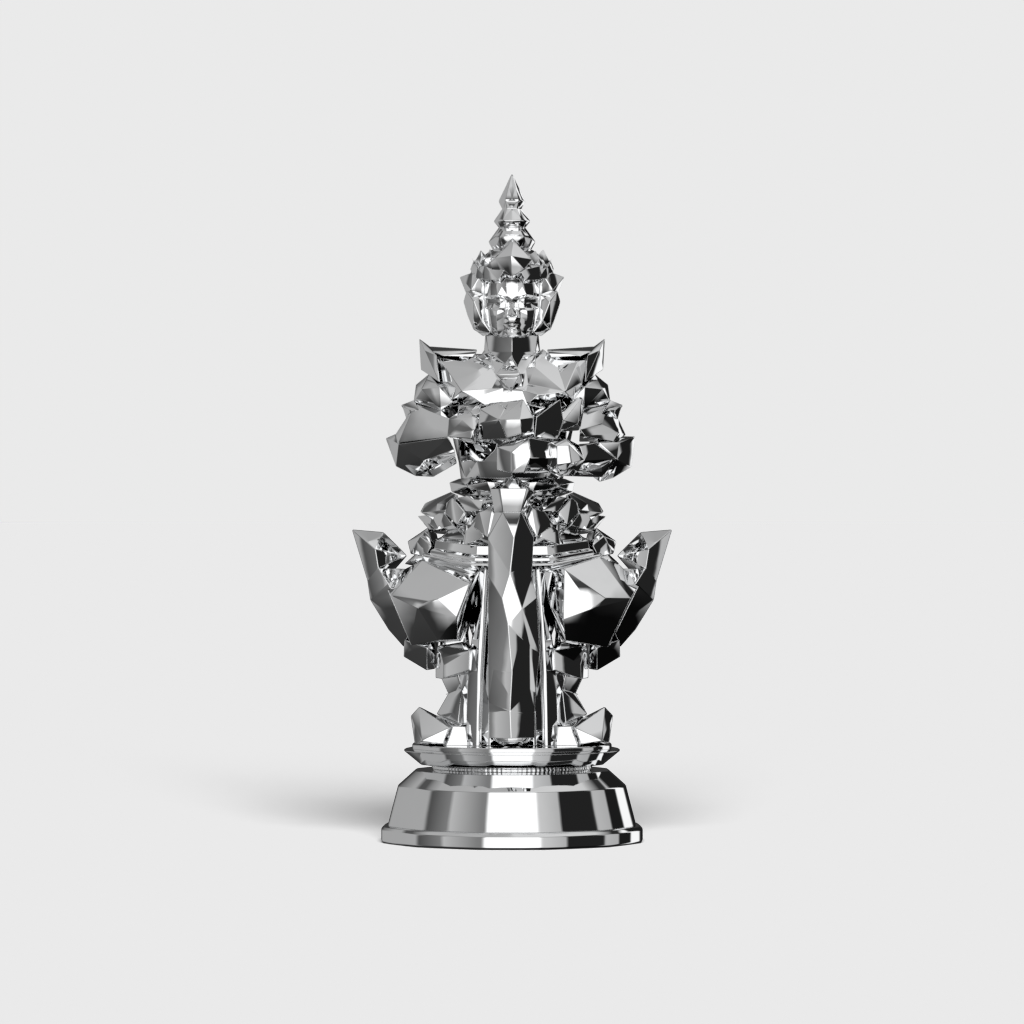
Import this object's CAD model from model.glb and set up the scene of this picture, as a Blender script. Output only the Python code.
"""Looks for a chrome-plated faceted guardian statuette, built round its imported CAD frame."""

import math
import random

import bmesh
import bpy
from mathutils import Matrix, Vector


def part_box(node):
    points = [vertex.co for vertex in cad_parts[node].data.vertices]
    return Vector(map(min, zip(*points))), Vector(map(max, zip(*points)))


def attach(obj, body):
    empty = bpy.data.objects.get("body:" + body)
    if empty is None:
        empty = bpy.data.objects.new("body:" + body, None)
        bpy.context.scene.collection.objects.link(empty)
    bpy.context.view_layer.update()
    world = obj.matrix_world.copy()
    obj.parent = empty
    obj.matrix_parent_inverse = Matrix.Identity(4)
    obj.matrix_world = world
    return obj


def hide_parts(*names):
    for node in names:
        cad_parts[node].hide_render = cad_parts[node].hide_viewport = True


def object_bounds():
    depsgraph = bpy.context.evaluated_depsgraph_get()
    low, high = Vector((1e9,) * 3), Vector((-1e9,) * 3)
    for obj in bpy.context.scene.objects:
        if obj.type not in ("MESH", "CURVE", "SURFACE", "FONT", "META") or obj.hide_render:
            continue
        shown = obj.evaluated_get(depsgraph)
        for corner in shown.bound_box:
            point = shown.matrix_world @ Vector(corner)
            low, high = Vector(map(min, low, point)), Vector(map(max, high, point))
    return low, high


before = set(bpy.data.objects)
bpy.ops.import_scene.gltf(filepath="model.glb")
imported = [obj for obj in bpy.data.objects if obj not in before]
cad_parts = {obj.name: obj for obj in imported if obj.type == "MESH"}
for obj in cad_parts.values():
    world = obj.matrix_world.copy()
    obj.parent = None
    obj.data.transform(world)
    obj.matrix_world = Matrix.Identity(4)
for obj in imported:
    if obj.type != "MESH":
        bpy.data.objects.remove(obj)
cad_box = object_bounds()

# Height in metres of the part as drawn, and one of its millimetres at the size it was packed
DRAWN_HEIGHT = 0.3
UNIT = 0.001 * ((cad_box[1][2] - cad_box[0][2]) / DRAWN_HEIGHT)

# ---------------------------------------------------------------- node helpers


def linear(grey):
    """Linear value of an sRGB grey from 0 to 255. Above 255 it is a light source's strength."""
    v = grey / 255
    if v > 1:
        return v
    return ((v + 0.055) / 1.055) ** 2.4 if v > 0.04 else v / 12.92


class Graph:
    """Short calls for adding nodes to one node tree."""

    def __init__(self, tree):
        self.nodes = tree.nodes
        self.links = tree.links
        self.nodes.clear()

    def add(self, kind, **values):
        node = self.nodes.new(kind)
        for name, v in values.items():
            setattr(node, name, v)
        return node

    def feed(self, socket, v):
        """Link a socket to an output, or set its value."""
        if isinstance(v, bpy.types.NodeSocket):
            self.links.new(v, socket)
        elif socket.type == "RGBA" and isinstance(v, (int, float)):
            socket.default_value = (v, v, v, 1)
        else:
            socket.default_value = v

    def math(self, operation, a, b=0.0):
        node = self.add("ShaderNodeMath", operation=operation)
        self.feed(node.inputs[0], a)
        self.feed(node.inputs[1], b)
        return node.outputs[0]

    def mix(self, factor, a, b, blend="MIX"):
        node = self.add("ShaderNodeMix", data_type="RGBA", blend_type=blend)
        self.feed(node.inputs[0], factor)
        self.feed(node.inputs[6], a)
        self.feed(node.inputs[7], b)
        return node.outputs[2]

    def ramp(self, factor, stops):
        """Grey ramp from (position, sRGB grey) pairs."""
        node = self.add("ShaderNodeValToRGB")
        elements = node.color_ramp.elements
        while len(elements) > 1:
            elements.remove(elements[-1])
        for i, (position, grey) in enumerate(stops):
            e = elements[0] if i == 0 else elements.new(position)
            e.position = position
            v = linear(grey)
            e.color = (v, v, v, 1)
        self.links.new(factor, node.inputs[0])
        return node.outputs[0]

    def noise(self, vector, size, detail=2.0, roughness=0.5):
        """Noise whose features are about `size` long, in metres."""
        node = self.add("ShaderNodeTexNoise")
        self.links.new(vector, node.inputs["Vector"])
        node.inputs["Scale"].default_value = 1 / size
        node.inputs["Detail"].default_value = detail
        node.inputs["Roughness"].default_value = roughness
        return node.outputs[0]

    def stretched(self, vector, scale, turn=(0, 0, 0)):
        node = self.add("ShaderNodeMapping")
        self.links.new(vector, node.inputs["Vector"])
        node.inputs["Scale"].default_value = scale
        node.inputs["Rotation"].default_value = turn
        return node.outputs[0]

    def bump(self, height, distance, normal=None):
        node = self.add("ShaderNodeBump")
        self.links.new(height, node.inputs["Height"])
        node.inputs["Distance"].default_value = distance
        node.inputs["Strength"].default_value = 1.0
        if normal is not None:
            self.links.new(normal, node.inputs["Normal"])
        return node.outputs[0]


def surface(name):
    """A new material: its graph, its Principled shader and its object coordinates."""
    m = bpy.data.materials.new(name)
    m.use_nodes = True
    g = Graph(m.node_tree)
    out = g.add("ShaderNodeOutputMaterial")
    shader = g.add("ShaderNodeBsdfPrincipled")
    g.links.new(shader.outputs[0], out.inputs[0])
    return m, g, shader, g.add("ShaderNodeTexCoord").outputs["Object"]


# ---------------------------------------------------------------- materials


def chrome_plate(name, swell):
    """Bright plate over a polished casting, with a slow swell in mm, fine hairlines and faint smudges."""
    m, g, shader, place = surface(name)
    smudge = g.ramp(g.noise(place, 22 * UNIT, 4, 0.6), [(0, 0), (0.5, 0), (0.72, 255)])
    hairs = g.noise(g.stretched(place, (1, 1, 0.04), (0.5, 0.3, 0)), 0.25 * UNIT, 2)
    haze = g.math("MULTIPLY", smudge, 0.012)
    grain = g.math("MULTIPLY", hairs, 0.008)
    g.feed(shader.inputs["Metallic"], 1.0)
    g.feed(shader.inputs["Base Color"], g.mix(smudge, (0.93, 0.935, 0.94, 1), (0.9, 0.905, 0.91, 1)))
    g.feed(shader.inputs["Roughness"], g.math("ADD", g.math("ADD", haze, grain), 0.004))
    slow = g.bump(g.noise(place, 16 * UNIT, 1), swell * UNIT)
    ripple = g.bump(g.noise(place, 4 * UNIT, 1), 0.03 * swell * UNIT, slow)
    g.feed(shader.inputs["Normal"], ripple)
    return m


def turned_steel():
    """Zinc-plated steel with fine turning marks round Z."""
    m, g, shader, place = surface("turned_steel")
    marks = g.noise(g.stretched(place, (0.05, 0.05, 1)), 0.12 * UNIT, 3)
    patches = g.noise(place, 6 * UNIT, 3)
    g.feed(shader.inputs["Metallic"], 1.0)
    g.feed(shader.inputs["Base Color"], g.mix(patches, (0.5, 0.51, 0.52, 1), (0.62, 0.62, 0.6, 1)))
    g.feed(shader.inputs["Roughness"], g.math("ADD", g.math("MULTIPLY", marks, 0.25), 0.2))
    g.feed(shader.inputs["Normal"], g.bump(marks, 0.02 * UNIT))
    return m


def black_felt():
    """Pressed felt: matted fibres, lighter fluff and a soft sheen."""
    m, g, shader, place = surface("black_felt")
    fibres = g.noise(place, 0.35 * UNIT, 6, 0.7)
    fluff = g.noise(place, 3 * UNIT, 3)
    lit = g.math("MULTIPLY", fibres, fluff)
    g.feed(shader.inputs["Base Color"], g.mix(lit, (0.012, 0.012, 0.013, 1), (0.09, 0.09, 0.095, 1)))
    g.feed(shader.inputs["Roughness"], 0.95)
    g.feed(shader.inputs["Sheen Weight"], 0.5)
    g.feed(shader.inputs["Normal"], g.bump(fibres, 0.15 * UNIT))
    return m


def pale_paint():
    """The studio floor."""
    m, g, shader, place = surface("pale_paint")
    patches = g.noise(place, 0.4, 3)
    g.feed(shader.inputs["Base Color"], g.mix(patches, (0.78, 0.78, 0.78, 1), (0.82, 0.82, 0.82, 1)))
    g.feed(shader.inputs["Roughness"], 0.8)
    return m


CHROME_CUT = chrome_plate("chrome_plate", 0.3)
CHROME_TURNED = chrome_plate("chrome_plate_turned", 0.08)
STEEL = turned_steel()
FELT = black_felt()

# ---------------------------------------------------------------- pieces

# Nodes left as they are, with their material
PLAIN = {"felt_pad": FELT, "clamp_disc": STEEL, "clamp_washer": STEEL, "clamp_nut": STEEL, "tie_rod": STEEL,
         "dowels": STEEL}
# Castings turned round Z, whose facets run into each other
TURNED = ["foot_ring", "base_drum", "base_neck", "plinth_rim", "top_plate"]

# Width in mm of the polished-off edges, and the sharpest fold that still reads as one surface
EDGE = 0.28
FOLD_DEG = 38
# The same pair for the castings with finer detail
FINE = {"head": (0.12, 44), "crown_flames": (0.15, 30), "finial": (0.2, 30), "crown_tier": (0.22, 30)}
# Sharpest fold that still reads as one surface on the turned castings and on the beads
TURNED_FOLD_DEG = 70
BEAD_FOLD_DEG = 80

# Corners closer than this many mm are one, and faces within this angle are one flat face
MERGE = 0.02
FLAT_DEG = 0.6
# Folds sharper than this are polished off
SHARP_DEG = 5


def clean_mesh(node):
    """The node's mesh with its triangles joined back into flat faces."""
    bm = bmesh.new()
    bm.from_mesh(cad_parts[node].data)
    bmesh.ops.remove_doubles(bm, verts=bm.verts, dist=MERGE * UNIT)
    bmesh.ops.dissolve_limit(bm, angle_limit=math.radians(FLAT_DEG), verts=bm.verts, edges=bm.edges)
    return bm


def dress(bm, node, fold_deg, chrome):
    """Turn a finished bmesh into the piece that stands for a CAD node."""
    mesh = bpy.data.meshes.new(node + "_skin")
    bm.to_mesh(mesh)
    bm.free()
    mesh.shade_smooth()
    mesh.set_sharp_from_angle(angle=math.radians(fold_deg))
    piece = bpy.data.objects.new(node + "_skin", mesh)
    bpy.context.scene.collection.objects.link(piece)
    mesh.materials.append(chrome)
    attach(piece, "root")
    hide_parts(node)
    return piece


# Lean of a facet's corner normals away from its middle
DOME = 0.12
# Power of a face's area by which it pulls on the normals of its corners
PULL = 0.6


def hold_facets(mesh):
    """Corner normals that lean to the wider face, so that the narrow rounds between facets turn the light.

    Each facet is also a little domed, as hand polishing leaves it.
    """
    total = [Vector() for _ in mesh.vertices]
    for face in mesh.polygons:
        reach = max((mesh.vertices[i].co - face.center).length for i in face.vertices)
        for i in face.vertices:
            dome = (mesh.vertices[i].co - face.center) * (DOME / reach)
            total[i] += (face.normal + dome) * face.area ** PULL
    mesh.normals_split_custom_set_from_vertices([v.normalized() for v in total])


def faceted_skin(node):
    """Every sharp edge is polished off to a narrow round."""
    width, fold_deg = FINE.get(node, (EDGE, FOLD_DEG))
    bm = clean_mesh(node)
    sharp = [e for e in bm.edges if e.is_manifold and e.calc_face_angle(0) > math.radians(SHARP_DEG)]
    bmesh.ops.bevel(bm, geom=sharp, offset=width * UNIT, offset_type="OFFSET", segments=2, profile=0.5,
                    affect="EDGES", clamp_overlap=False)
    piece = dress(bm, node, fold_deg, CHROME_CUT)
    hold_facets(piece.data)
    return piece


SIDES = 12
# Share of the way from a flat side to the circle through its corners
BOW = 0.4
# Nothing nearer the axis than this many mm is bowed, so bores stay round
BORE = 20
# Width in mm of the rounds on the steps, and the smallest fold that counts as a step
STEP_ROUND = 0.35
STEP_DEG = 12
# Level edges longer than this many mm get this many cuts, so that the sides can bow
LONG = 8
CUTS = 5
# An edge is level when its ends are within this many mm of height
LEVEL = 0.01


def bow_out(point):
    """Swell a point of a twelve-sided wall part of the way to the circle through the corners."""
    step = 2 * math.pi / SIDES
    radius = math.hypot(point.x, point.y)
    if radius < BORE * UNIT:
        return
    off_middle = (math.atan2(point.y, point.x) + math.pi / 2 + step / 2) % step - step / 2
    to_corner = math.cos(off_middle) / math.cos(step / 2)
    factor = 1 + BOW * (to_corner - 1)
    point.x *= factor
    point.y *= factor


def is_level(edge):
    return abs(edge.verts[0].co.z - edge.verts[1].co.z) < LEVEL * UNIT


def is_step(edge):
    return is_level(edge) and edge.is_manifold and edge.calc_face_angle(0) > math.radians(STEP_DEG)


def turned_skin(node):
    """Twelve softly bowed sides, rounded steps, and normals that run on round the axis."""
    bm = clean_mesh(node)
    steps = [e for e in bm.edges if is_step(e)]
    bmesh.ops.bevel(bm, geom=steps, offset=STEP_ROUND * UNIT, offset_type="OFFSET", segments=3, profile=0.5,
                    affect="EDGES", clamp_overlap=True)
    long_edges = [e for e in bm.edges if is_level(e) and e.calc_length() > LONG * UNIT]
    bmesh.ops.subdivide_edges(bm, edges=long_edges, cuts=CUTS, use_grid_fill=True)
    for v in bm.verts:
        bow_out(v.co)
    piece = dress(bm, node, TURNED_FOLD_DEG, CHROME_TURNED)
    turned_normals(piece.data)
    return piece


def turned_normals(mesh):
    """Normals tilted by the area-weighted mean of a corner's faces, at the corner's own bearing."""
    tilt = [Vector((0, 0)) for _ in mesh.vertices]
    for face in mesh.polygons:
        for i in face.vertices:
            co = mesh.vertices[i].co
            out = Vector((co.x, co.y)).normalized()
            flat = Vector((face.normal.x, face.normal.y))
            tilt[i] += Vector((flat.dot(out), face.normal.z)) * face.area
    normals = []
    for face in mesh.polygons:
        for i in face.vertices:
            co = mesh.vertices[i].co
            out = Vector((co.x, co.y)).normalized()
            t = tilt[i].normalized()
            # Level faces, and corners whose faces cancel out, keep the face's own normal
            if abs(face.normal.z) > 0.99 or t.length < 0.5:
                normals.append(tuple(face.normal))
            else:
                normals.append((out.x * t.x, out.y * t.x, t.y))
    mesh.normals_split_custom_set(normals)


BEADS = 110
# How far the ring narrows between beads, and by how much cutting leaves it uneven, as shares of its radius
PINCH = 0.16
UNEVEN = 0.08


def bead_moulding():
    """A knurled ring in the groove of the base's neck."""
    low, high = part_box("bead_ring")
    middle_z = (low[2] + high[2]) / 2
    tube_r = (high[2] - low[2]) / 2
    ring_r = (high[0] - low[0]) / 2 - tube_r
    along, around = 6 * BEADS, 12
    bm = bmesh.new()
    loops = []
    for i in range(along):
        a = 2 * math.pi * i / along
        r = tube_r * (1 - PINCH * (0.5 + 0.5 * math.cos(BEADS * a)) - UNEVEN * random.random())
        loop = []
        for j in range(around):
            t = 2 * math.pi * j / around
            out = ring_r + r * math.cos(t)
            loop.append(bm.verts.new((out * math.cos(a), out * math.sin(a), middle_z + r * math.sin(t))))
        loops.append(loop)
    for i, loop in enumerate(loops):
        after = loops[(i + 1) % len(loops)]
        for j in range(around):
            k = (j + 1) % around
            bm.faces.new((loop[j], after[j], after[k], loop[k]))
    return dress(bm, "bead_ring", BEAD_FOLD_DEG, CHROME_TURNED)


random.seed(12)
for name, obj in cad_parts.items():
    if name in PLAIN:
        obj.data.materials.clear()
        obj.data.materials.append(PLAIN[name])
    elif name in TURNED:
        turned_skin(name)
    elif name == "bead_ring":
        bead_moulding()
    else:
        faceted_skin(name)

# ---------------------------------------------------------------- studio

# sRGB grey of the backdrop
BACKDROP = 234
# Half the floor's width, in metres
FLOOR_HALF = 60
# The point that the lights are aimed at
AIM = Vector((0, 0, 0.1))
# The long lens keeps the plinth's sides from spreading
CAMERA_PLACE = (0, -2.115, 0.1476)
LENS = 165.7


def studio_world():
    """Soft boxes and black flags round the object, seen only in its reflections.

    There are five belts, from the pit below to the ceiling above. Each is made of strips, given as
    (bearing in degrees, grey). The bearing is 0 at the camera and grows to the right.
    """
    world = bpy.data.worlds.new("studio")
    bpy.context.scene.world = world
    world.use_nodes = True
    g = Graph(world.node_tree)
    out = g.add("ShaderNodeOutputWorld")
    split = g.add("ShaderNodeSeparateXYZ")
    g.links.new(g.add("ShaderNodeTexCoord").outputs["Generated"], split.inputs[0])
    x, y, z = split.outputs
    bearing = g.math("ARCTAN2", x, g.math("MULTIPLY", y, -1.0))
    turn = g.math("ADD", g.math("DIVIDE", bearing, 2 * math.pi), 0.5)
    rise = g.math("ADD", g.math("MULTIPLY", z, 0.5), 0.5)

    def strips(stops):
        return g.ramp(turn, [(deg / 360 + 0.5, grey) for deg, grey in stops])

    def above(low_deg, high_deg):
        """0 below the first elevation and 1 above the second."""
        low, high = (0.5 + 0.5 * math.sin(math.radians(d)) for d in (low_deg, high_deg))
        return g.ramp(rise, [(0, 0), (low, 0), (high, 255), (1, 255)])

    eye_level = strips([(-180, 60), (-168, 60), (-150, 165), (-92, 168), (-88, 78), (-66, 125), (-62, 185),
                        (-30, 128), (-26, 128), (-23, 330), (24, 330), (27, 205), (48, 180), (50, 34),
                        (87, 34), (89, 185), (107, 175), (109, 28), (129, 28), (131, 255), (146, 255),
                        (148, 30), (165, 30), (180, 60)])
    shade = strips([(-180, 60), (-120, 90), (-60, 100), (-20, 80), (0, 75), (24, 60), (30, 34), (88, 34),
                    (92, 120), (108, 120), (112, 30), (180, 60)])
    ceiling = strips([(-180, 160), (-120, 175), (-60, 175), (-20, 185), (0, 200), (20, 215), (90, 212),
                      (130, 208), (150, 160), (180, 160)])
    ground = strips([(-180, 30), (-140, 52), (-60, 60), (-34, 48), (-20, 170), (12, 190), (26, 40), (34, 8),
                     (120, 8), (180, 30)])
    pit = strips([(-180, 30), (-120, 45), (-60, 55), (-34, 45), (-20, 25), (12, 12), (34, 8), (120, 8),
                  (180, 30)])
    sky = g.mix(above(31, 35), eye_level, shade)
    sky = g.mix(above(40, 50), sky, ceiling)
    sky = g.mix(above(-34, -22), ground, sky)
    sky = g.mix(above(-54, -44), pit, sky)
    reflected = g.add("ShaderNodeBackground")
    g.links.new(sky, reflected.inputs[0])
    seen = g.add("ShaderNodeBackground")
    g.feed(seen.inputs[0], linear(BACKDROP))
    pick = g.add("ShaderNodeMixShader")
    g.links.new(g.add("ShaderNodeLightPath").outputs["Is Camera Ray"], pick.inputs[0])
    g.links.new(reflected.outputs[0], pick.inputs[1])
    g.links.new(seen.outputs[0], pick.inputs[2])
    g.links.new(pick.outputs[0], out.inputs[0])
    world.cycles_visibility.diffuse = False


def studio_floor():
    """A wide pale floor that catches the shadow."""
    bm = bmesh.new()
    bmesh.ops.create_grid(bm, x_segments=1, y_segments=1, size=FLOOR_HALF)
    mesh = bpy.data.meshes.new("floor")
    bm.to_mesh(mesh)
    bm.free()
    floor = bpy.data.objects.new("floor", mesh)
    bpy.context.scene.collection.objects.link(floor)
    mesh.materials.append(pale_paint())
    floor.is_shadow_catcher = True
    floor.visible_glossy = False


def soft_light(name, place, width, height, energy):
    """A rectangle of light that no reflection shows, so that it only shapes the shadow."""
    light = bpy.data.lights.new(name, "AREA")
    light.shape = "RECTANGLE"
    light.size = width
    light.size_y = height
    light.energy = energy
    lamp = bpy.data.objects.new(name, light)
    bpy.context.scene.collection.objects.link(lamp)
    lamp.location = place
    lamp.rotation_euler = (AIM - lamp.location).to_track_quat("-Z", "Y").to_euler()
    lamp.visible_glossy = False


def place_camera():
    """Level with the middle of the figure, straight in front."""
    data = bpy.data.cameras.new("camera")
    data.sensor_width = 36
    data.lens = LENS
    data.clip_end = 200
    camera = bpy.data.objects.new("camera", data)
    bpy.context.scene.collection.objects.link(camera)
    camera.location = CAMERA_PLACE
    camera.rotation_euler = (math.radians(90), 0, 0)
    bpy.context.scene.camera = camera
    bpy.context.scene.view_settings.view_transform = "Standard"


studio_world()
studio_floor()
soft_light("key", (0.14, -2.2, 1.6), 1.35, 1.2, 120)
soft_light("overhead", (0, 0.3, 3), 4, 4, 3)
place_camera()
